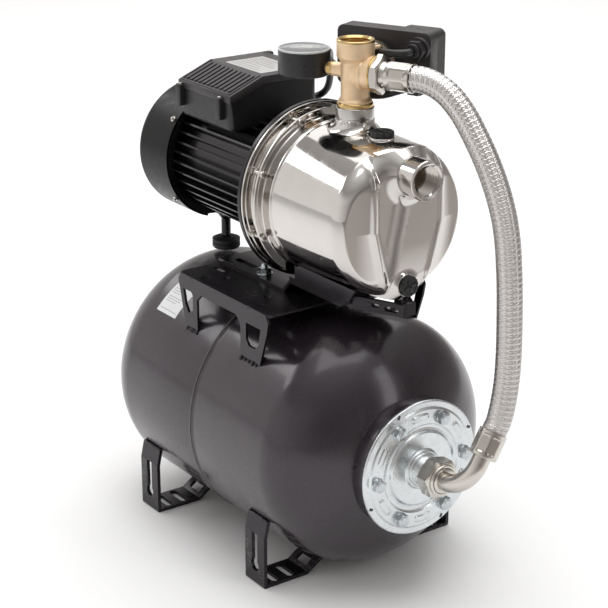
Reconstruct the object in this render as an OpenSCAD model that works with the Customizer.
// Automatic domestic booster set: a stainless self-priming jet pump that stands on a
// horizontal pressure tank, with a five-way fitting, gauge, pressure switch and braided hose.
// X runs along the tank towards the suction port, Z is up, the floor is z = 0.

/* [Tank] */
// Outside diameter of the pressure tank
tank_d = 277.6; // [274:0.2:280]
// Overall length of the tank over both heads
tank_len = 436; // [430:1:450]
// Height of the tank's centre line above the floor
tank_h = 148; // [147:0.5:152]
// Distance along the tank between the two feet
foot_pitch = 218.7; // [200:0.1:230]
// Width across the outside of each foot
foot_span = 256; // [250:1:262]

/* [Pump] */
// Height of the pump shaft above the floor
shaft_h = 404.2; // [404:0.2:408]
// Outside diameter of the stainless barrel
barrel_d = 164.6; // [160:0.2:166]
// Outside diameter of the back plate's rim
rim_d = 190.8; // [186:0.2:194]
// Distance of the outlet's centre line from the middle of the feet
outlet_x = 110.4; // [104:0.2:118]
// Height of the suction port above the shaft
suction_rise = 52.2; // [50:0.2:53]
// Outside diameter over the motor's cooling fins
fin_d = 132; // [128:1:134]
// Number of cooling fins around the motor
fin_count = 36; // [24:1:40]

/* [Fitting, gauge and switch] */
// Turn of the fitting's hose port away from the tank's axis
fitting_turn = 24; // [22:1:26]
// Height of the fitting's side ports above the floor
port_h = 543.5; // [541:0.5:546]
// Height of the fitting's open top above the floor
fitting_top = 577; // [574:1:582]
// Outside diameter of the gauge
gauge_d = 54; // [50:1:56]

/* [Hose and leads] */
// Outside diameter of the braided hose
hose_d = 26.4; // [24:0.2:28]
// Outside diameter of the mains lead and of the motor lead
lead_d = 8; // [7:0.2:8.4]

/* [Hidden] */
$fn = 64;

// Sheet and clearance
shell_t = 1.6;
gap = 0.3;
slip = 0.05;

// Tank
tank_r = tank_d / 2;
head_depth = 85;
head_x = tank_len / 2 - head_depth;
seam_x = 3.6;
neck_r = 42;
neck_outer_r = 72;
neck_x0 = head_x + 66;
flange_x0 = 224;
flange_r = 74;
flange_t = 4.5;
bolt_circle_r = 57.5;
bolt_turn = 3;
port_thread_r = 16.6;
g1_minor_r = 15.15;
boss_end_x = flange_x0 + 35;

// Feet
foot_w = 36;
foot_t = 4;
foot_knee_z = 59;
foot_toe_y = 72;
slot_r = 4.5;
slot_l = 22;
slot_gap = 14;
belly_y = 50;

// Console
console_x0 = -71.3;
console_x1 = 104.5;
console_y = 105;
console_top = 300;
console_t = 3;
console_bolt_x = -2;
console_bolt_y = 36;

// Pump stack along the shaft
housing_x0 = -150;
housing_x1 = 30;
adapter_x1 = 41.5;
plate_x1 = 44.5;
clamp_x = 60;
casing_flange_r = 92.7;
barrel_x0 = 77.8;
shoulder_r = 24;
front_r = barrel_d / 2 - 2.5;
front_x = 198;
barrel_r = barrel_d / 2;
drum_r = 84;
casing_t = 1.5;
casing_root_r = casing_flange_r - 9.4;
screw_circle_r = 89;
screw_count = 8;
suction_h = shaft_h + suction_rise;
suction_x1 = 228.7;
drain_drop = 64;
priming_x = 156;
priming_seat = shaft_h + barrel_d / 2 - 0.8;
drain_seat = front_x + 2.5;
fin_r = fin_d / 2;
core_r = 50;
flat_top_z = 457.4;
fan_cover_r = 76;
fan_cover_x0 = -203;
fan_cover_x1 = -138;
shaft_r = 7.5;
shaft_end_r = 6;

// Terminal box
box_x0 = -134.7;
box_x1 = -30;
box_y0 = -60;
box_y1 = 58;
lid_z0 = 490;
lid_eave_z = 498;
lid_ridge_z = 514.8;
lid_ridge_y = -18;
rib_count = 11;

// Gauge, measured from the fitting's axis along the port's line
gauge_reach = 60;
gauge_z0 = 534;
gauge_z1 = 562;
gauge_r = gauge_d / 2;

// Switch, in the fitting's own turned frame
sw_x0 = -48;
sw_x1 = 60;
sw_step = 14;
sw_y0 = 48;
sw_y1 = 64;
sw_y2 = 70;
sw_y3 = 82;
sw_z0 = 517;
sw_z1 = 579;
gland_a = 48;
gland_hi = 563;
gland_lo = 527;
lever_pin = [-38, 56];
box_gland_x = -60;
box_gland_z = 474;

// Elbow on the tank's flange
elbow_x = 268;
elbow_r = 32;
elbow_tilt = 31;
ferrule_l = 28;
ferrule_start = 40;
nipple_end = 38;
ferrule_end = nipple_end + ferrule_l;

function unit(v) = v / norm(v);
function reversed(list) = [for (i = [len(list) - 1 : -1 : 0]) list[i]];
function turned(v) = [
    outlet_x + v[0] * cos(fitting_turn) - v[1] * sin(fitting_turn),
    v[0] * sin(fitting_turn) + v[1] * cos(fitting_turn),
    v[2]
];
function tilted(t) = [elbow_x + elbow_r, t * sin(elbow_tilt), tank_h + t * cos(elbow_tilt)];

// The hose's route from the fitting to the elbow
hose_route = concat(
    [turned([ferrule_end, 0, port_h]), turned([ferrule_end + 10, 0, port_h])],
    [
        [191, 36, 540.5], [205, 41, 533.5], [218, 44.5, 523], [230, 47.5, 509.5],
        [241, 50, 494], [252, 52.5, 477], [262, 54.5, 459], [271, 56, 440],
        [279, 56.5, 420], [285.5, 56, 398], [290, 55, 375], [293.5, 54, 352],
        [295.5, 53.5, 328], [297, 53, 304], [297.8, 52.5, 280], [298.5, 50.8, 257],
        [299.3, 47, 236]
    ],
    [tilted(ferrule_start + ferrule_l + 12), tilted(ferrule_start + ferrule_l)]
);

// The motor's lead, from the switch's lower gland, under the fitting and behind the gauge,
// to the gland on the terminal box's far side
motor_route = concat(
    [for (v = [
        [48, 29, 527], [46.5, 23, 526.5], [41, 19, 525], [32, 18, 521.5], [22, 19.5, 518],
        [12, 21.5, 516], [2, 24, 515.5], [-9, 28, 516.5], [-20, 32, 521], [-31, 35, 528],
        [-42, 37, 536], [-53, 38.5, 542]
    ]) turned(v)],
    [
        [36, 18, 545.5], [26, 27, 545.5], [15, 37, 542.5], [3, 47, 536], [-9, 56, 526],
        [-21, 65, 513], [-32, 73, 500], [-43, 78.5, 488], [-52, 80, 480], [-58, 77.5, 475.5],
        [-60, 73, 474.2], [-60, 69, 474]
    ]
);

// The mains lead, from the upper gland, behind the fitting, over the casing's far side,
// down the tank's flank and along the floor into its coil
mains_route = concat(
    [for (v = [
        [48, 29, 563], [46.5, 23, 563], [41, 19, 562.5], [33, 18, 562], [24, 19.5, 561.5],
        [14, 22.5, 561], [3, 25, 560.5], [-8, 24.5, 557], [-15, 22, 548], [-18, 21, 536],
        [-19, 22, 522]
    ]) turned(v)],
    [
        [84, 18, 509], [78, 24, 499], [69, 33, 494], [58, 45, 491.5], [46, 57, 490],
        [33, 68, 485.5], [19, 78, 478], [4, 87, 466], [-12, 93, 450], [-28, 98, 433],
        [-44, 101, 414], [-58, 103, 393], [-70, 104, 370], [-79, 105, 345], [-85, 106, 318],
        [-88, 107, 290], [-90, 108, 264], [-91, 112.5, 240], [-92, 127, 215], [-93, 137.5, 190],
        [-94, 143.5, 160], [-95, 144.5, 130], [-96, 145.5, 100], [-98, 147, 72],
        [-101, 149, 48], [-106, 152, 27], [-114, 155.5, 12], [-125, 159, 5], [-138, 160.8, 4.2],
        [-152, 161, 4.2]
    ]
);

// The coil of spare lead on the floor, and the short end that leaves it for the plug
coil_at = [-172, 209];
coil_mid_r = 44;
tail_route = [
    [-158, 252.6, 11.2], [-148, 250.6, 11.4], [-138, 246.6, 12], [-128, 240.8, 13],
    [-118, 235, 14.4], [-108, 230, 15.8], [-100, 227.4, 17], [-92, 226.2, 17.5]
];
plug_x0 = -92;
plug_y = 226.2;
plug_r = 17.5;

module rod_x(x0, x1, r, y = 0, z = 0) {
    translate([x0, y, z]) rotate([0, 90, 0]) cylinder(h = x1 - x0, r = r);
}

module rod_y(y0, y1, r, x = 0, z = 0) {
    translate([x, y0, z]) rotate([-90, 0, 0]) cylinder(h = y1 - y0, r = r);
}

// A shape turned about a line along X; its points are [radius, x]
module turned_x(points, z = 0, y = 0) {
    translate([0, y, z]) rotate([0, 90, 0]) rotate_extrude() polygon(points);
}

module box(low, high) {
    translate(low) cube(high - low);
}

module fitting_frame() {
    translate([outlet_x, 0, 0]) rotate([0, 0, fitting_turn]) children();
}

// A round tube swept along a list of points
module swept_tube(path, r, sides) {
    last = len(path) - 1;
    t = [for (i = [0 : last]) unit(path[min(i + 1, last)] - path[max(i - 1, 0)])];
    up = [0, 0.1, 1];
    n = [for (
        i = 0, v = unit(up - (up * t[0]) * t[0]);
        i <= last;
        i = i + 1, v = i <= last ? unit(v - (v * t[i]) * t[i]) : v
    ) v];
    points = [for (i = [0 : last], k = [0 : sides - 1])
        let (a = k * 360 / sides)
        path[i] + r * (cos(a) * n[i] + sin(a) * cross(t[i], n[i]))];
    walls = [for (i = [0 : last - 1], k = [0 : sides - 1])
        let (a = i * sides + k, b = i * sides + (k + 1) % sides)
        each [[a, a + sides, b + sides], [a, b + sides, b]]];
    caps = [
        [for (k = [0 : sides - 1]) k],
        [for (k = [sides - 1 : -1 : 0]) last * sides + k]
    ];
    polyhedron(points, concat(walls, caps));
}

module hex_z(across, h) {
    cylinder(h = h, d = across / cos(30), $fn = 6);
}

// ---------- tank ----------

function head_points(r, depth, side) = [
    for (i = [0 : 16]) let (a = i * 90 / 16)
    [r * pow(cos(a), 0.9), side * (head_x + depth * sin(a))]
];

module tank_solid() {
    turned_x(concat(reversed(head_points(tank_r, head_depth, -1)),
        head_points(tank_r, head_depth, 1)), tank_h);
}

module half_shell(side) {
    bead = 1.2;
    turned_x(concat(
        reversed(head_points(tank_r, head_depth, side)),
        [[tank_r, seam_x + side * 5], [tank_r + bead, seam_x + side * 3],
         [tank_r + bead, seam_x], [tank_r - shell_t, seam_x]],
        head_points(tank_r - shell_t, head_depth - shell_t, side)
    ), tank_h);
}

module tank_rear_shell() {
    color("#151517") difference() {
        half_shell(-1);
        rod_x(-tank_len, -head_x, 5, 0, tank_h);
    }
}

module tank_front_shell() {
    color("#151517") difference() {
        half_shell(1);
        rod_x(head_x, tank_len, neck_r, 0, tank_h);
    }
}

module tank_neck_collar() {
    seat = 2.5;
    color("#19191b") difference() {
        rod_x(neck_x0, flange_x0, neck_outer_r, 0, tank_h);
        tank_solid();
        rod_x(neck_x0 - 1, flange_x0 + 1, neck_r, 0, tank_h);
        rod_x(flange_x0 - seat, flange_x0 + 1, neck_r + 7, 0, tank_h);
        bolt_pattern_x() rod_x(neck_x0 + 8, flange_x0 + 1, 4);
    }
}

module tank_bladder() {
    wall = 2;
    long_r = 188;
    fat_r = 112;
    mouth = 34;
    bulb = [for (i = [1 : 20]) let (a = 18 + i * 162 / 20) [fat_r * sin(a), long_r * cos(a)]];
    inner = [for (i = [1 : 20]) let (a = 18 + i * 162 / 20)
        [(fat_r - wall) * sin(a), (long_r - wall) * cos(a)]];
    color("#2b2b2d") turned_x(concat(
        [[mouth, flange_x0], [neck_r + 7, flange_x0], [neck_r + 7, flange_x0 - 2.5],
         [mouth + 4, flange_x0 - 2.5], [mouth + 4, 188]],
        bulb, reversed(inner), [[mouth, 186]]
    ), tank_h);
}

module bolt_pattern_x() {
    translate([0, 0, tank_h])
        for (i = [0 : 5]) rotate([bolt_turn + 60 * i, 0, 0]) translate([0, bolt_circle_r, 0]) children();
}

module counter_flange() {
    face = flange_x0 + flange_t;
    color("#c9ced6") difference() {
        turned_x([
            [g1_minor_r - 2, flange_x0], [flange_r, flange_x0], [flange_r, face - 1], [flange_r - 1, face],
            [67, face], [65.5, face + 1.6], [49, face + 1.6], [47.5, face], [42, face],
            [40.5, face + 2.4], [22, face + 2.4], [20.5, face + 5], [port_thread_r, face + 5],
            [port_thread_r, boss_end_x], [g1_minor_r - 2, boss_end_x]
        ], tank_h);
        bolt_pattern_x() rod_x(flange_x0 - 1, face + 5, 4.3);
        for (i = [0 : 3]) translate([0, 0, tank_h]) rotate([25 + 90 * i, 0, 0])
            translate([0, 70.5, 0]) rod_x(flange_x0 - 1, face + 1, 1.6);
    }
}

// A hex bolt along +Z whose head's washer sits at z = 0
module hex_bolt(shank, washer_r, washer_t) {
    translate([0, 0, -shank]) cylinder(h = shank, r = 3.9);
    cylinder(h = washer_t, r = washer_r);
    translate([0, 0, washer_t]) hex_z(13, 5.3);
}

module hex_bolts() {
    flange_seat = flange_x0 + flange_t + 1.6;
    console_seat = console_top + 3;
    color("#d3d6da") {
        bolt_pattern_x() translate([flange_seat, 0, 0]) rotate([0, 90, 0]) hex_bolt(12, 7.6, 1.2);
        for (s = [-1, 1]) translate([console_bolt_x, s * console_bolt_y, console_seat]) {
            hex_bolt(console_t + 9, 9, 1.6);
            translate([0, 0, -console_t - 9]) hex_z(13, 6);
            translate([0, 0, 6.9]) cylinder(h = 5, r = 3.9);
        }
    }
}

module air_valve() {
    tail = -tank_len / 2;
    color("#b9924a") turned_x([
        [0, tail - 10], [3.8, tail - 10], [3.8, tail - 3], [8, tail - 3], [8, tail],
        [4.9, tail], [4.9, tail + 8], [0, tail + 8]
    ], tank_h);
}

module air_valve_cap() {
    tail = -tank_len / 2 - 3 - gap;
    color("#202022") turned_x([
        [3.9, tail], [7, tail], [7, tail - 8], [5, tail - 11], [0, tail - 11],
        [0, tail - 9], [3.9, tail - 8]
    ], tank_h);
}

// ---------- feet and console ----------

// A strip of sheet seen from its edge, between two points
module strip(a, b, t) {
    d = b - a;
    translate(a) rotate(atan2(d[1], d[0])) translate([0, -t / 2]) square([norm(d), t]);
    translate(a) circle(d = t);
    translate(b) circle(d = t);
}

module foot_half() {
    mid = foot_t / 2;
    outer = foot_span / 2 - mid;
    belly = [belly_y, tank_h - sqrt(pow(tank_r, 2) - pow(belly_y, 2)) - mid];
    root_r = tank_r + mid;
    root = [root_r * cos(-30), tank_h + root_r * sin(-30)];
    strip(root, [outer, foot_knee_z], foot_t);
    strip([outer, foot_knee_z], [outer, mid], foot_t);
    strip([outer, mid], [foot_toe_y, mid], foot_t);
    strip([foot_toe_y, mid], belly, foot_t);
}

module floor_slot(y) {
    translate([0, y, -1]) {
        translate([-slot_l / 2, 0, 0]) cylinder(h = foot_t + 2, r = slot_r);
        translate([slot_l / 2, 0, 0]) cylinder(h = foot_t + 2, r = slot_r);
        translate([-slot_l / 2, -slot_r, 0]) cube([slot_l, 2 * slot_r, foot_t + 2]);
    }
}

module foot(x) {
    window = 20;
    y_edge = foot_span / 2;
    color("#1b1b1d") translate([x, 0, 0]) difference() {
        rotate([90, 0, 90]) translate([0, 0, -foot_w / 2]) linear_extrude(foot_w) {
            foot_half();
            mirror([1, 0]) foot_half();
            intersection() {
                translate([0, tank_h]) circle(r = tank_r + foot_t);
                translate([-belly_y, 0]) square([2 * belly_y, 20]);
            }
        }
        translate([-x, 0, 0]) tank_solid();
        for (s = [-1, 1]) {
            floor_slot(s * (y_edge - 28 + slot_gap / 2 + 3));
            floor_slot(s * (y_edge - 28 - slot_gap / 2 - 3));
            translate([-window / 2, s > 0 ? 55 : -68, 3]) cube([window, 13, 9]);
            rod_y(min(s * (y_edge - 8), s * (y_edge + 4)), max(s * (y_edge - 8), s * (y_edge + 4)), 7, 0, 22);
            translate([-5, s > 0 ? y_edge - 6 : -y_edge - 2, 22]) cube([10, 8, 38]);
        }
    }
}

module foot_front() {
    foot(foot_pitch / 2);
}

module foot_rear() {
    foot(-foot_pitch / 2);
}

module console_plate(thick) {
    cut = 5;
    linear_extrude(thick) polygon([
        [console_x0 + cut, -console_y], [console_x1 - cut, -console_y], [console_x1, -console_y + cut],
        [console_x1, console_y - cut], [console_x1 - cut, console_y], [console_x0 + cut, console_y],
        [console_x0, console_y - cut], [console_x0, -console_y + cut]
    ]);
}

// One long side of the console, with its two windowed legs, drawn in the XZ plane
module console_side() {
    foot_z = 225;
    rail = 16;
    difference() {
        polygon([
            [console_x0 + 5, console_top], [console_x1 - 5, console_top], [console_x1, console_top - 8],
            [console_x1 - 3, console_top - 22], [83, foot_z], [52, foot_z], [52, console_top - rail - 8],
            [44, console_top - rail], [-25, console_top - rail], [-33, console_top - rail - 8],
            [-33, foot_z], [-54, foot_z], [console_x0 + 4, console_top - 22], [console_x0, console_top - 8]
        ]);
        polygon([[63, 281], [90, 281], [86, 263], [80, 256], [68, 256], [63, 262]]);
        polygon([[-61, 283], [-45, 283], [-42, 279], [-42, 262], [-51, 257], [-57, 266]]);
    }
}

module pump_console() {
    color("#1a1a1c") difference() {
        union() {
            translate([0, 0, console_top - console_t]) console_plate(console_t);
            for (s = [-1, 1])
                translate([0, s > 0 ? console_y : -console_y + console_t, 0])
                    rotate([90, 0, 0]) linear_extrude(console_t) console_side();
        }
        tank_solid();
        for (s = [-1, 1]) {
            translate([-34.5, s * 92, 280]) cylinder(h = 40, r = 4.5);
            translate([74, s * 92, 280]) cylinder(h = 40, r = 3.5);
            translate([54, s * 72, 280]) cylinder(h = 40, r = 4);
            translate([-21, s * 74, 280]) cylinder(h = 40, r = 4);
            box([-58, s * 66 - 3, 280], [-40, s * 66 + 3, 320]);
            translate([console_bolt_x, s * console_bolt_y, 280]) cylinder(h = 40, r = 4.3);
        }
        box([-40, -20, 280], [20, 20, 320]);
    }
}

// ---------- pump foot and motor foot ----------

// One side wall of the pump foot, drawn in the XZ plane; the barrel trims its top
module pump_foot_wall() {
    polygon([[62, 313], [152, 313], [166, 322], [176, 336], [176, 345], [62, 345]]);
}

// One converging side of the foot's toe
module pump_foot_toe(s) {
    hull() {
        box([146, s * 32 - 1.5, 307], [149, s * 32 + 1.5, 322]);
        box([201, s * 5.5 - 1.5, 309], [204, s * 5.5 + 1.5, 321]);
    }
}

module pump_foot() {
    base_t = 3;
    tray_z = 313;
    half = 48.5;
    color("#1b1b1d") difference() {
        union() {
            box([-76, -half, console_top], [52, half, console_top + base_t]);
            hull() {
                box([49, -half, console_top], [52, half, console_top + base_t]);
                box([62, -half, tray_z], [64, half, tray_z + base_t]);
            }
            box([62, -half, tray_z], [152, half, tray_z + base_t]);
            for (s = [-1, 1]) translate([0, s > 0 ? half : base_t - half, 0])
                rotate([90, 0, 0]) linear_extrude(base_t) pump_foot_wall();
            pump_foot_toe(-1);
            pump_foot_toe(1);
            box([203, -7, 309], [206, 7, 323]);
        }
        rod_x(0, 190, barrel_r + 0.4, 0, shaft_h);
        rod_x(0, 72, casing_flange_r + 4, 0, shaft_h);
        rod_x(71, 79, barrel_r + 2.4, 0, shaft_h);
        rod_y(-40, 40, 2, 173, 315.5);
        rod_y(-40, 40, 2, 177, 315.5);
        box([173, -40, 313.5], [177, 40, 317.5]);
        rod_y(-40, 40, 2.5, 187, 314);
        rod_y(-40, 40, 2.5, 196, 314);
        box([187, -40, 311.5], [196, 40, 316.5]);
        for (s = [-1, 1]) {
            translate([console_bolt_x, s * console_bolt_y, 290]) cylinder(h = 30, r = 4.3);
            box([-60, s * 34 - 4, 290], [-24, s * 34 + 4, 320]);
        }
    }
}

module motor_foot_stem() {
    color("#1d1d1f") difference() {
        translate([-134.5, 0, 0]) {
            translate([0, 0, 304.8]) cylinder(h = 24, r = 5.5);
            translate([0, 0, 326]) cylinder(h = 8, r1 = 5.5, r2 = 11);
            translate([-11, -9, 332]) cube([22, 18, 16]);
        }
        rod_x(-200, 0, fin_r, 0, shaft_h);
    }
}

module motor_foot_pad() {
    color("#151516") translate([-134.5, 0, 0]) {
        translate([0, 0, 291.5]) cylinder(h = 1.5, r1 = 15, r2 = 16.2);
        translate([0, 0, 293]) cylinder(h = 4, r = 16.2);
        translate([0, 0, 297]) cylinder(h = 1.2, r = 15);
        translate([0, 0, 298.2]) cylinder(h = 4, r = 16.2);
        translate([0, 0, 302.2]) cylinder(h = 2.6, r1 = 16.2, r2 = 10);
    }
}

// ---------- pump ----------

// The casing's outline from its flange to its front, drawn in by a wall thickness
function casing_points(inset) = concat(
    [[casing_root_r - inset, clamp_x + 3], [barrel_r + 0.8 - inset, barrel_x0 - 3],
     [barrel_r - inset, barrel_x0]],
    [for (i = [0 : 10]) let (a = i * 9)
        [front_r - shoulder_r + (shoulder_r - inset) * cos(a),
         front_x - shoulder_r + (shoulder_r - inset) * sin(a)]],
    [[20, front_x + 2 - inset], [0, front_x + 2.4 - inset]]
);

module casing_solid() {
    turned_x(concat([[0, clamp_x], [casing_root_r, clamp_x]], casing_points(0)), shaft_h);
}

module pump_casing() {
    color("#d6d2cc") difference() {
        turned_x(concat(
            [[casing_root_r - casing_t, clamp_x], [casing_flange_r - 0.8, clamp_x],
             [casing_flange_r, clamp_x + 0.8], [casing_flange_r, clamp_x + 2.2],
             [casing_flange_r - 0.8, clamp_x + 3]],
            casing_points(0), reversed(casing_points(casing_t))
        ), shaft_h);
        casing_screw_pattern() rod_x(clamp_x - 1, clamp_x + 10, 2.6);
        translate([outlet_x, 0, shaft_h]) cylinder(h = 100, r = 15);
        rod_x(150, 220, 14, 0, suction_h);
        translate([priming_x, 0, shaft_h]) cylinder(h = 100, r = 8.2);
        rod_x(150, 220, 8.2, 0, shaft_h - drain_drop);
    }
    color("#d6d2cc") difference() {
        union() {
            translate([priming_x, 0, shaft_h + 60]) cylinder(h = priming_seat - shaft_h - 60, r = 13);
            rod_x(180, drain_seat, 12.5, 0, shaft_h - drain_drop);
        }
        casing_solid();
        translate([priming_x, 0, shaft_h]) cylinder(h = 100, r = 8.2);
        rod_x(150, 220, 8.2, 0, shaft_h - drain_drop);
    }
}

module casing_screw_pattern() {
    translate([0, 0, shaft_h]) for (i = [0 : screw_count - 1])
        rotate([22.5 + 360 / screw_count * i, 0, 0]) translate([0, screw_circle_r, 0]) children();
}

module back_plate() {
    color("#d6d2cc") difference() {
        turned_x([
            [6.6, adapter_x1], [rim_d / 2 - 0.8, adapter_x1], [rim_d / 2, adapter_x1 + 0.8],
            [rim_d / 2, plate_x1 - 0.8], [rim_d / 2 - 0.8, plate_x1], [drum_r, plate_x1],
            [drum_r, clamp_x], [drum_r - 2, clamp_x], [drum_r - 2, plate_x1], [15, plate_x1],
            [15, plate_x1 + 4], [6.6, plate_x1 + 4]
        ], shaft_h);
        casing_screw_pattern() rod_x(adapter_x1 - 1, plate_x1 + 1, 2.6);
    }
}

module casing_screws() {
    color("#c8c4bc") casing_screw_pattern() {
        rod_x(33, clamp_x + 3, 2.5);
        difference() {
            rod_x(plate_x1, plate_x1 + 5, 4.4);
            rod_x(plate_x1 + 3, plate_x1 + 6, 2.5);
        }
        rod_x(plate_x1, plate_x1 + 5, 2.5);
        rod_x(clamp_x + 3, clamp_x + 5, 3.4);
    }
}

module suction_socket() {
    color("#d9d6d1") difference() {
        turned_x([
            [14, 184], [30, 184], [27, front_x - 1], [20.6, front_x + 8], [20.6, suction_x1 - 1],
            [19.8, suction_x1], [g1_minor_r, suction_x1], [g1_minor_r, front_x + 5], [14, front_x + 5]
        ], suction_h);
        casing_solid();
    }
}

module outlet_socket() {
    top = 508.5;
    color("#cfccc7") difference() {
        translate([outlet_x, 0, 0]) rotate_extrude() polygon([
            [16.5, 470], [24, 470], [22.5, 488], [19.6, 493], [19.6, top - 0.8], [18.8, top], [16.5, top]
        ]);
        casing_solid();
    }
}

module priming_plug() {
    seat = priming_seat + gap;
    color("#232325") translate([priming_x, 0, 0]) difference() {
        union() {
            translate([0, 0, seat]) cylinder(h = 5, r = 12);
            translate([0, 0, seat + 5]) cylinder(h = 1, r1 = 12, r2 = 11);
            translate([0, 0, seat - 12]) cylinder(h = 13, r = 8);
        }
        for (i = [0 : 11]) rotate(30 * i) translate([12.6, 0, seat + 1]) cylinder(h = 12, r = 1.3);
        translate([-1.2, -8, seat + 4.5]) cube([2.4, 16, 4]);
    }
}

module drain_plug() {
    seat = drain_seat + gap;
    color("#232325") translate([0, 0, shaft_h - drain_drop]) difference() {
        union() {
            rod_x(seat, seat + 5, 11);
            rod_x(seat - 20, seat + 1, 8);
        }
        box([seat + 3, -7, -1.1], [seat + 6, 7, 1.1]);
        box([seat + 3, -1.1, -7], [seat + 6, 1.1, 7]);
    }
}

module diffuser() {
    rim = 70;
    color("#3a3a3c") difference() {
        turned_x([
            [66, plate_x1], [rim, plate_x1], [rim, 96], [rim - 8, 100], [18, 100], [18, 96], [66, 96]
        ], shaft_h);
        for (i = [0 : 8]) translate([0, 0, shaft_h]) rotate([40 * i, 0, 0])
            box([80, 60, -4], [93, 75, 4]);
    }
}

module ejector() {
    inlet_z = suction_h;
    color("#2f2f31") difference() {
        union() {
            rod_x(100, 168, 17.5, 0, shaft_h);
            rod_x(164, 188, 17.5, 0, inlet_z);
            box([164, -14, shaft_h - 12], [188, 14, inlet_z]);
        }
        turned_x([[0, 99], [13, 99], [8, 150], [12, 172], [12, 180], [0, 180]], shaft_h);
        rod_x(172, 190, 13, 0, inlet_z);
        box([172, -9, shaft_h], [182, 9, inlet_z]);
    }
}

module impeller() {
    eye = 16;
    color("#c49a4a") translate([0, 0, shaft_h]) {
        difference() {
            union() {
                rod_x(80, 83, 61);
                rod_x(80, 94, 11);
                difference() {
                    rod_x(91, 94, 61);
                    rod_x(90, 95, eye);
                }
                for (i = [0 : 5]) rotate([60 * i, 0, 0]) translate([80, eye, -2])
                    rotate([28, 0, 0]) cube([14, 40, 3]);
            }
            rod_x(79, 95, shaft_end_r);
        }
    }
}

module shaft_seal() {
    start = plate_x1 + 4 + gap;
    color("#55565a") turned_x([
        [shaft_end_r, start], [12, start], [12, start + 5], [10, start + 7],
        [13, 78], [13, 80], [shaft_end_r, 80]
    ], shaft_h);
}

module motor_adapter() {
    color("#161618") difference() {
        turned_x([
            [9, 17], [22, 17], [22, 24], [core_r - 0.1, 24], [core_r - 0.1, housing_x1],
            [fin_r, housing_x1], [fin_r + 2, housing_x1 + 2], [93, 35], [96.2, 36.5], [96.2, 41],
            [95.8, adapter_x1], [9, adapter_x1]
        ], shaft_h);
        rod_x(16, 30, 17.5, 0, shaft_h);
        casing_screw_pattern() rod_x(32.9, adapter_x1 + 1, 2.6);
    }
}

module motor_housing() {
    wall_r = 57;
    fin_t = 2.2;
    color("#131315") difference() {
        union() {
            rod_x(housing_x0, housing_x1, wall_r, 0, shaft_h);
            intersection() {
                rod_x(housing_x0, housing_x1, fin_r, 0, shaft_h);
                translate([0, 0, shaft_h]) for (i = [0 : fin_count - 1])
                    rotate([i * 360 / fin_count, 0, 0])
                        box([housing_x0, wall_r - 2, -fin_t / 2], [housing_x1, fin_r + 2, fin_t / 2]);
            }
        }
        rod_x(housing_x0 - 1, housing_x1 + 1, core_r, 0, shaft_h);
        box([box_x0 - 2, -fin_r, flat_top_z], [box_x1 + 2, fin_r, 500]);
    }
}

module rear_end_shield() {
    rim = fan_cover_r - 2.6;
    color("#161618") difference() {
        turned_x([
            [shaft_end_r + 1, -156], [rim, -156], [rim, fan_cover_x1], [fin_r + gap, fan_cover_x1],
            [fin_r + gap, housing_x0], [core_r - 0.1, housing_x0], [core_r - 0.1, -144],
            [22, -144], [22, -136], [shaft_end_r + 2.5, -136]
        ], shaft_h);
        rod_x(-148, -135, 17.5, 0, shaft_h);
        box([-152, -20, 320], [-122, 20, shaft_h - fin_r + 2]);
        cover_screw_pattern() translate([-144, 0, 0]) rod_z_down(6);
    }
}

module rod_z_down(depth) {
    translate([0, 0, -depth]) cylinder(h = depth + 4, r = 1.6);
}

// Four places around the fan cover's rim, each with its own up direction outwards
module cover_screw_pattern() {
    for (a = [-53, 53, 127, 233]) translate([0, 0, shaft_h]) rotate([a, 0, 0])
        translate([0, 0, fan_cover_r]) children();
}

module stator_core() {
    color("#6d7074") difference() {
        rod_x(-110, -30, core_r, 0, shaft_h);
        rod_x(-111, -29, 28, 0, shaft_h);
        for (i = [0 : 23]) translate([0, 0, shaft_h]) rotate([15 * i, 0, 0])
            box([-111, 27, -1.6], [-29, 40, 1.6]);
    }
}

module stator_windings() {
    color("#b5652b") for (x = [[-128, -110], [-30, -12]])
        turned_x([
            [31, x[0]], [33, x[0]], [44, x[0]], [46, x[0] + 3], [46, x[1]], [31, x[1]]
        ], shaft_h);
}

module rotor_shaft() {
    color("#b8bbbf") turned_x([
        [0, -190], [5.2, -190], [shaft_end_r, -189], [shaft_end_r, -149], [shaft_r, -149],
        [shaft_r, 31], [shaft_end_r, 31], [shaft_end_r, 97], [5, 98], [0, 98]
    ], shaft_h);
}

module rotor_core() {
    color("#85888c") difference() {
        union() {
            rod_x(-110, -30, 27.5, 0, shaft_h);
            rod_x(-116, -24, 24, 0, shaft_h);
        }
        rod_x(-117, -23, shaft_r, 0, shaft_h);
    }
}

module bearing_pair() {
    for (x = [-148, 19]) translate([x, 0, shaft_h]) children();
}

module bearing_outer_rings() {
    color("#a9adb2") bearing_pair() difference() {
        rod_x(0, 11, 17.5);
        rod_x(-1, 12, 15.2);
    }
}

module bearing_inner_rings() {
    balls = 8;
    color("#b4b8bd") bearing_pair() {
        difference() {
            rod_x(0, 11, 10.6);
            rod_x(-1, 12, shaft_r);
        }
        for (i = [0 : balls - 1]) rotate([i * 360 / balls, 0, 0])
            translate([5.5, 12.5, 0]) sphere(r = 2.3, $fn = 32);
    }
}

module cooling_fan() {
    blades = 7;
    color("#2a2a2c") translate([0, 0, shaft_h]) difference() {
        union() {
            rod_x(-188, -166, 12);
            rod_x(-169, -166, 42);
            for (i = [0 : blades - 1]) rotate([i * 360 / blades, 0, 0])
                box([-190, 8, -1.2], [-166, 68, 1.2]);
        }
        rod_x(-200, -160, shaft_end_r);
    }
}

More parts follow.
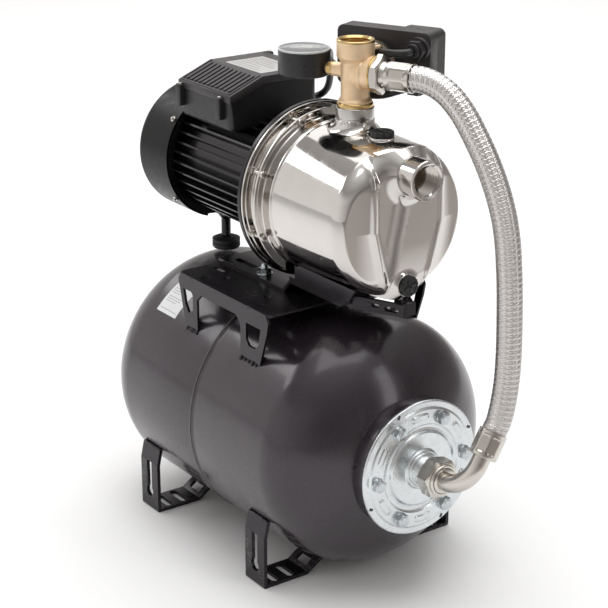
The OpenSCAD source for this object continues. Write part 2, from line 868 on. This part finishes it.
module fan_cover() {
    wall = 2.5;
    edge = 9;
    bend = [for (i = [0 : 6]) let (a = i * 15)
        [fan_cover_r - edge + edge * sin(a), fan_cover_x0 + edge - edge * cos(a)]];
    inner = [for (i = [0 : 6]) let (a = i * 15)
        [fan_cover_r - edge + (edge - wall) * sin(a), fan_cover_x0 + edge - (edge - wall) * cos(a)]];
    color("#19191b") difference() {
        turned_x(concat(
            [[0, fan_cover_x0]], bend, [[fan_cover_r, fan_cover_x1], [fan_cover_r - wall, fan_cover_x1]],
            reversed(inner), [[0, fan_cover_x0 + wall]]
        ), shaft_h);
        translate([0, 0, shaft_h]) for (ring = [[26, 12], [40, 18], [54, 24]], i = [0 : ring[1] - 1])
            rotate([i * 360 / ring[1], 0, 0]) rod_x(fan_cover_x0 - 1, fan_cover_x0 + wall + 1, 3.2, ring[0]);
        box([-152, -22, 320], [-100, 22, shaft_h - fin_r - 1]);
        cover_screw_pattern() translate([-144, 0, 0]) rod_z_down(5);
    }
}

// ---------- terminal box ----------

module terminal_box() {
    wall = 2.5;
    low = [box_x0 + 2, box_y0 + 2, flat_top_z];
    high = [box_x1 - 2, box_y1 - 2, lid_z0];
    color("#19191b") difference() {
        union() {
            box(low, high);
            box([box_x0, box_y0, lid_z0 - 6], [box_x1, box_y1, lid_z0]);
            for (x = [box_x0 + 14, box_x1 - 14], y = [box_y0 + 6, box_y1 - 6])
                translate([x, y, flat_top_z]) cylinder(h = lid_z0 - flat_top_z, r = 6);
        }
        box([low[0] + wall, low[1] + 12, low[2] + wall], [high[0] - wall, high[1] - 12, lid_z0 + 1]);
        for (x = [box_x0 + 14, box_x1 - 14], y = [box_y0 + 6, box_y1 - 6])
            translate([x, y, lid_z0 - 12]) cylinder(h = 13, r = 1.6);
        rod_y(box_y1 - 16, box_y1 + 1, 4.1, box_gland_x, box_gland_z);
    }
}

// The lid seen from its end: a ribbed slope up to a ridge and a flat top behind it
function lid_outline(inset, base) = [
    [box_y0 + inset, base], [box_y1 - inset, base], [box_y1 - inset, lid_ridge_z - 3 - inset],
    [box_y1 - 3 - inset, lid_ridge_z - inset], [lid_ridge_y - inset / 3, lid_ridge_z - inset],
    [box_y0 + inset, lid_eave_z - inset]
];

module lid_slab(x0, x1, inset, base) {
    translate([x0, 0, 0]) rotate([90, 0, 90]) linear_extrude(x1 - x0)
        polygon(lid_outline(inset, base));
}

module terminal_box_lid() {
    wall = 2.5;
    rib_pitch = (box_x1 - box_x0 - 10) / rib_count;
    slope = atan2(lid_ridge_z - lid_eave_z, lid_ridge_y - box_y0);
    color("#1b1b1d") difference() {
        lid_slab(box_x0, box_x1, 0, lid_z0);
        lid_slab(box_x0 + wall, box_x1 - wall, wall, lid_z0 - 1);
        for (i = [0 : rib_count - 1])
            translate([box_x0 + 5 + rib_pitch * (i + 0.25), box_y0 + 4, lid_eave_z - 0.2])
                rotate([slope, 0, 0]) translate([0, 3, 0.3]) cube([rib_pitch * 0.5, 36, 4]);
    }
}

module small_screws() {
    color("#c9ccd0") {
        for (x = [box_x0 + 14, box_x1 - 14], y = [box_y0 + 6, box_y1 - 6])
            translate([x, y, lid_z0 - 10]) cylinder(h = 10, r = 1.6);
        cover_screw_pattern() translate([-144, 0, 0]) {
            rod_z_down(4);
            cylinder(h = 1.8, r = 3.4);
        }
    }
}

module capacitor() {
    color("#cfcfd2") rod_x(-118, -62, 14, 26, flat_top_z + 2.5 + 14);
}

// ---------- fitting and gauge ----------

// A rod out of the fitting's axis at the side ports' height, at an angle in the fitting's frame
module port_rod(reach0, reach1, r, angle) {
    translate([0, 0, port_h]) rotate([0, 0, angle]) rod_x(reach0, reach1, r);
}

module five_way_fitting() {
    socket_top = 508.5;
    color("#c9a15a") fitting_frame() difference() {
        union() {
            translate([0, 0, 496]) cylinder(h = socket_top - 496, r = 16.4);
            translate([0, 0, socket_top]) cylinder(h = 6.5, r = 18.2);
            translate([0, 0, 514]) cylinder(h = 3, r1 = 18.2, r2 = 14.8);
            translate([0, 0, 514]) cylinder(h = fitting_top - 528, r = 14.8);
            translate([0, 0, fitting_top - 22]) cylinder(h = 4, r1 = 14.8, r2 = 19);
            translate([0, 0, fitting_top - 18]) cylinder(h = 17, r = 19.4);
            translate([0, 0, fitting_top - 1]) cylinder(h = 1, r1 = 19.4, r2 = 18.6);
            port_rod(0, 22, 18, 0);
            port_rod(22, 24, 17.2, 0);
            port_rod(0, 26, 7.6, 180);
            port_rod(0, 27, 8.8, 90);
        }
        translate([0, 0, 490]) cylinder(h = 100, r = 12);
        translate([0, 0, fitting_top - 18]) cylinder(h = 20, r = g1_minor_r);
        port_rod(0, 30, 12, 0);
        port_rod(10, 30, 15.2, 0);
        port_rod(0, 30, 4, 180);
        port_rod(0, 30, 4.5, 90);
        port_rod(14, 30, 5.6, 180);
        port_rod(14, 30, 6.6, 90);
    }
}

module gauge_frame() {
    fitting_frame() translate([-gauge_reach, 0, 0]) children();
}

module gauge_stem() {
    inner = gauge_reach - gauge_r;
    color("#c8a052") fitting_frame() {
        port_rod(15, 26, 5.5, 180);
        translate([0, 0, port_h]) rotate([0, -90, 0]) translate([0, 0, 26]) hex_z(12, 5.5);
        port_rod(31.5, inner + 12, 5, 180);
    }
}

module gauge_case() {
    color("#161618") gauge_frame() difference() {
        union() {
            translate([0, 0, gauge_z0]) cylinder(h = 2, r1 = gauge_r - 2, r2 = gauge_r);
            translate([0, 0, gauge_z0 + 2]) cylinder(h = gauge_z1 - gauge_z0 - 2, r = gauge_r);
        }
        translate([0, 0, gauge_z0 + 1.6]) cylinder(h = 30, r = gauge_r - 3.6);
        translate([0, 0, gauge_z1 - 7.5]) cylinder(h = 30, r = gauge_r - 1.8);
        translate([0, 0, gauge_z1 - 3]) cylinder(h = 30, r = gauge_r - 1.2);
        rod_x(10, gauge_r + 4, 5, 0, port_h);
    }
}

module gauge_dial() {
    color("#f0f0ec") gauge_frame() {
        translate([0, 0, gauge_z1 - 7.5]) cylinder(h = 1, r = gauge_r - 1.8);
        translate([0, 0, gauge_z1 - 7]) cylinder(h = 3.3, r = 0.9);
    }
}

module gauge_needle() {
    color("#202020") gauge_frame() translate([0, 0, gauge_z1 - 6.1]) difference() {
        union() {
            cylinder(h = 1.6, r = 2.6);
            rotate(225) translate([-7, -0.7, 0.4]) cube([26, 1.4, 0.8]);
        }
        translate([0, 0, -1]) cylinder(h = 4, r = 0.9 + slip);
    }
}

module gauge_lens() {
    color("#e8eef2") gauge_frame() translate([0, 0, gauge_z1 - 3]) cylinder(h = 2.4, r = gauge_r - 1.2);
}

// ---------- pressure switch ----------

module switch_flange() {
    color("#b9bcc0") fitting_frame() {
        port_rod(15, 27, 6.5, 90);
        translate([0, 0, port_h]) rotate([0, 90, 90]) translate([0, 0, 27]) hex_z(17, 9);
        port_rod(36, 44, 22, 90);
        port_rod(39, 42, 25, 90);
        port_rod(44, sw_y0, 18, 90);
    }
}

// A box with rounded vertical-view corners, seen along the switch's depth
module switch_slab(x0, x1, y0, y1, inset, r = 7) {
    rotate([90, 0, 0]) translate([0, 0, -y1]) linear_extrude(y1 - y0)
        offset(r = r - inset) offset(delta = -r)
            translate([x0, sw_z0]) square([x1 - x0, sw_z1 - sw_z0]);
}

module switch_base() {
    wall = 2.5;
    color("#222225") fitting_frame() difference() {
        union() {
            switch_slab(sw_x0, sw_x1, sw_y0, sw_y1, 0);
            for (z = [gland_lo, gland_hi]) rod_y(sw_y0 - 6, sw_y0, 12, gland_a, z);
        }
        switch_slab(sw_x0, sw_x1, sw_y0 + wall, sw_y1 + 1, wall);
        for (z = [gland_lo, gland_hi]) rod_y(sw_y0 - 7, sw_y0 + 8, 4.6, gland_a, z);
    }
    color("#222225") fitting_frame() translate([lever_pin[0], lever_pin[1], sw_z0 + 1])
        cylinder(h = sw_z1 - sw_z0 - 2, r = 1.5);
}

module switch_cover() {
    wall = 2.2;
    color("#1f1f22") fitting_frame() difference() {
        union() {
            switch_slab(sw_x0, sw_x1, sw_y1, sw_y2, 0);
            switch_slab(sw_step, sw_x1, sw_y1, sw_y3, 0);
        }
        switch_slab(sw_x0, sw_x1, sw_y1 - 1, sw_y2 - wall, wall);
        switch_slab(sw_step, sw_x1, sw_y1 - 1, sw_y3 - wall, wall);
    }
}

module switch_lever() {
    color("#b9bcc0") fitting_frame() difference() {
        union() {
            box([lever_pin[0], lever_pin[1] - 1, 532], [12, lever_pin[1] + 1, 562]);
            translate([lever_pin[0], lever_pin[1], 532]) cylinder(h = 30, r = 3);
        }
        translate([lever_pin[0], lever_pin[1], 530]) cylinder(h = 40, r = 1.5 + slip);
    }
}

module gland(a, z, y) {
    rod_y(y - 9, y, 4 + 4.5, a, z);
    translate([a, y - 1, z]) rotate([90, 0, 0]) hex_z(19, 8);
    rod_y(y - 13, y - 9, 7.6, a, z);
}

module cable_glands() {
    color("#1d1d20") difference() {
        union() {
            fitting_frame() for (z = [gland_lo, gland_hi]) gland(gland_a, z, sw_y0 - 6);
            translate([box_gland_x, box_y1 - 2, box_gland_z]) rotate([-90, 0, 0]) hex_z(17, 9);
            rod_y(box_y1 + 7, box_y1 + 11, 7, box_gland_x, box_gland_z);
        }
        fitting_frame() for (z = [gland_lo, gland_hi]) rod_y(20, sw_y0, lead_d / 2, gland_a, z);
        rod_y(box_y1 - 8, box_y1 + 20, lead_d / 2, box_gland_x, box_gland_z);
    }
}

// ---------- hose ----------

module hose_nipple() {
    across = 36;
    color("#cfd1d3") fitting_frame() difference() {
        union() {
            port_rod(11, 24, 15.1, 0);
            translate([0, 0, port_h]) rotate([0, 90, 0]) translate([0, 0, 24]) hex_z(across, 9);
            port_rod(33, nipple_end, 12.5, 0);
            port_rod(nipple_end, nipple_end + 20, 9.5, 0);
        }
        port_rod(10, nipple_end + 21, 8, 0);
    }
}

// A crimped ferrule, closed at its start and open towards the hose
module ferrule() {
    flats = 8;
    outer = hose_d / 2 + 1.7;
    difference() {
        union() {
            cylinder(h = 2.5, r1 = outer - 1.5, r2 = outer);
            translate([0, 0, 2.5]) cylinder(h = ferrule_l - 2.5, r = outer);
        }
        translate([0, 0, -1]) cylinder(h = ferrule_l + 2, r = 9.5);
        for (i = [0 : flats - 1]) rotate(i * 360 / flats)
            translate([outer - 0.7, -4.2, 5]) cube([4, 8.4, ferrule_l - 10]);
    }
}

module hose_ferrules() {
    color("#cfcdc9") {
        fitting_frame() translate([nipple_end, 0, port_h]) rotate([0, 90, 0]) ferrule();
        translate([elbow_x + elbow_r, 0, tank_h]) rotate([-elbow_tilt, 0, 0])
            translate([0, 0, ferrule_start]) ferrule();
    }
}

module braided_hose() {
    color("#c4c4c2") swept_tube(hose_route, hose_d / 2, 12);
}

module hose_elbow() {
    tube = 9.5;
    bend = [for (i = [0 : 9]) let (a = i * 10, rise = elbow_r * (1 - cos(a)))
        [elbow_x + elbow_r * sin(a), rise * sin(elbow_tilt), tank_h + rise * cos(elbow_tilt)]];
    color("#d2d3d5") {
        rod_x(boss_end_x, boss_end_x + 3, 15.9, 0, tank_h);
        swept_tube(concat([[boss_end_x + 1, 0, tank_h]], bend, [tilted(ferrule_start + 20)]), tube, 24);
    }
}

module hose_union_nut() {
    start = boss_end_x - 12;
    stop = boss_end_x + 8;
    color("#cfd0d2") difference() {
        union() {
            translate([start, 0, tank_h]) rotate([0, 90, 0]) hex_z(38, 17);
            rod_x(start + 17, stop, 17, 0, tank_h);
        }
        rod_x(start - 1, boss_end_x + 3, port_thread_r + 0.1, 0, tank_h);
        rod_x(start - 1, stop + 1, 9.5 + 0.2, 0, tank_h);
    }
}

// ---------- leads ----------

module motor_lead() {
    color("#161617") swept_tube(motor_route, lead_d / 2, 10);
}

module mains_lead() {
    color("#161617") {
        swept_tube(mains_route, lead_d / 2, 10);
        swept_tube(tail_route, lead_d / 2, 10);
    }
}

// The outer shape of the coiled turns: two side by side with one lying in the groove on top
module mains_coil() {
    round_r = lead_d / 2;
    top = 4.2 + 7 + round_r;
    color("#161617") translate([coil_at[0], coil_at[1], 0]) rotate_extrude() polygon([
        [coil_mid_r - 2 * round_r, 1.2], [coil_mid_r - 2 * round_r + 1.2, 0],
        [coil_mid_r + 2 * round_r - 1.2, 0], [coil_mid_r + 2 * round_r, 1.2],
        [coil_mid_r + 2 * round_r, 6.5], [coil_mid_r + round_r - 1, top - 1.2],
        [coil_mid_r + round_r - 2.2, top], [coil_mid_r - round_r + 2.2, top],
        [coil_mid_r - round_r + 1, top - 1.2], [coil_mid_r - 2 * round_r, 6.5]
    ]);
}

module mains_plug() {
    relief = 34;
    body = 40;
    color("#1a1a1b") {
        turned_x([
            [0, plug_x0], [lead_d / 2 + 0.5, plug_x0], [8, plug_x0 + relief - 4], [10, plug_x0 + relief],
            [plug_r - 3, plug_x0 + relief + 8], [plug_r, plug_x0 + relief + 14],
            [plug_r, plug_x0 + relief + body - 2], [plug_r - 2, plug_x0 + relief + body],
            [0, plug_x0 + relief + body]
        ], plug_r, plug_y);
    }
    color("#c7c9cb") for (s = [-1, 1])
        rod_x(plug_x0 + relief + body, plug_x0 + relief + body + 19, 2.4, plug_y + s * 9.5, plug_r);
}

tank_rear_shell();
tank_front_shell();
tank_neck_collar();
tank_bladder();
counter_flange();
hex_bolts();
air_valve();
air_valve_cap();
foot_front();
foot_rear();
pump_console();
pump_foot();
motor_foot_stem();
motor_foot_pad();
pump_casing();
back_plate();
casing_screws();
suction_socket();
outlet_socket();
priming_plug();
drain_plug();
diffuser();
ejector();
impeller();
shaft_seal();
motor_adapter();
motor_housing();
rear_end_shield();
stator_core();
stator_windings();
rotor_shaft();
rotor_core();
bearing_outer_rings();
bearing_inner_rings();
cooling_fan();
fan_cover();
terminal_box();
terminal_box_lid();
small_screws();
capacitor();
five_way_fitting();
gauge_stem();
gauge_case();
gauge_dial();
gauge_needle();
gauge_lens();
switch_flange();
switch_base();
switch_cover();
switch_lever();
cable_glands();
hose_nipple();
hose_ferrules();
braided_hose();
hose_elbow();
hose_union_nut();
motor_lead();
mains_lead();
mains_coil();
mains_plug();
